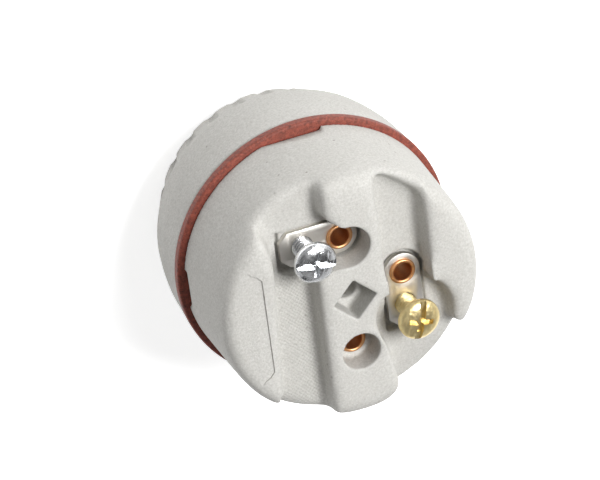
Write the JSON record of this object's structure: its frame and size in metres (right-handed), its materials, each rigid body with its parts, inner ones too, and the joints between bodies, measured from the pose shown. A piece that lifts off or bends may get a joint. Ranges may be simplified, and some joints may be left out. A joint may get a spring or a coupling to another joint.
{
  "type": "panel-mount lamp socket",
  "caption": "Porcelain lamp socket with a threaded clamp ring, a fibre gasket, a screw shell for the lamp and screw terminals in two wire channels on the back",
  "frame": {"origin": "on the lamp axis, in the front face of the clamp ring, which is the bottom of the part", "axes": "+Z is the lamp axis and points to the wiring side; +Y points to the eyelet of the shell terminal, +X to the eyelet of the centre contact"},
  "size_m": [0.053, 0.053, 0.0477],
  "materials": {
    "porcelain_body": "unglazed fine matte",
    "clamp_ring": "unglazed fine matte",
    "ring_gasket": "matte vulcanised fibre",
    "screw_shell": "rolled sheet, satin",
    "centre_contact": "spring sheet",
    "shell_terminal": "nickel plated, satin",
    "centre_terminal": "nickel plated, satin",
    "shell_terminal_eyelet": "bright copper colour",
    "plain_eyelet": "bright copper colour",
    "centre_eyelet": "bright copper colour",
    "shell_terminal_screw": "bright zinc plated",
    "centre_terminal_screw": "bright brass"
  },
  "bodies": {
    "socket": {"porcelain_body": "porcelain_body", "screw_shell": "screw_shell", "centre_contact": "centre_contact", "shell_terminal": "shell_terminal", "centre_terminal": "centre_terminal", "shell_terminal_eyelet": "shell_terminal_eyelet", "plain_eyelet": "plain_eyelet", "centre_eyelet": "centre_eyelet"},
    "gasket": {"ring_gasket": "ring_gasket"},
    "ring": {"clamp_ring": "clamp_ring"},
    "shell_screw": {"shell_terminal_screw": "shell_terminal_screw"},
    "centre_screw": {"centre_terminal_screw": "centre_terminal_screw"}
  },
  "joints": [
    {"name": "ring_travel", "type": "slide", "parent": "socket", "child": "gasket", "axis": [0, 0, 1], "range_m": [-0.015, 0]},
    {"name": "ring_turn", "type": "hinge", "parent": "gasket", "child": "ring", "pos_m": [0, 0, 0], "axis": [0, 0, 1], "range_deg": [-1687.5, 0]},
    {"name": "shell_screw_travel", "type": "slide", "parent": "socket", "child": "shell_screw", "axis": [0, 0, 1], "range_m": [-0.0055, 0]},
    {"name": "centre_screw_travel", "type": "slide", "parent": "socket", "child": "centre_screw", "axis": [0, 0, 1], "range_m": [-0.0055, 0]}
  ],
  "couplings": [
    {"joint": "ring_travel", "follows": "ring_turn", "m_per_rad": 0.0005093}
  ]
}
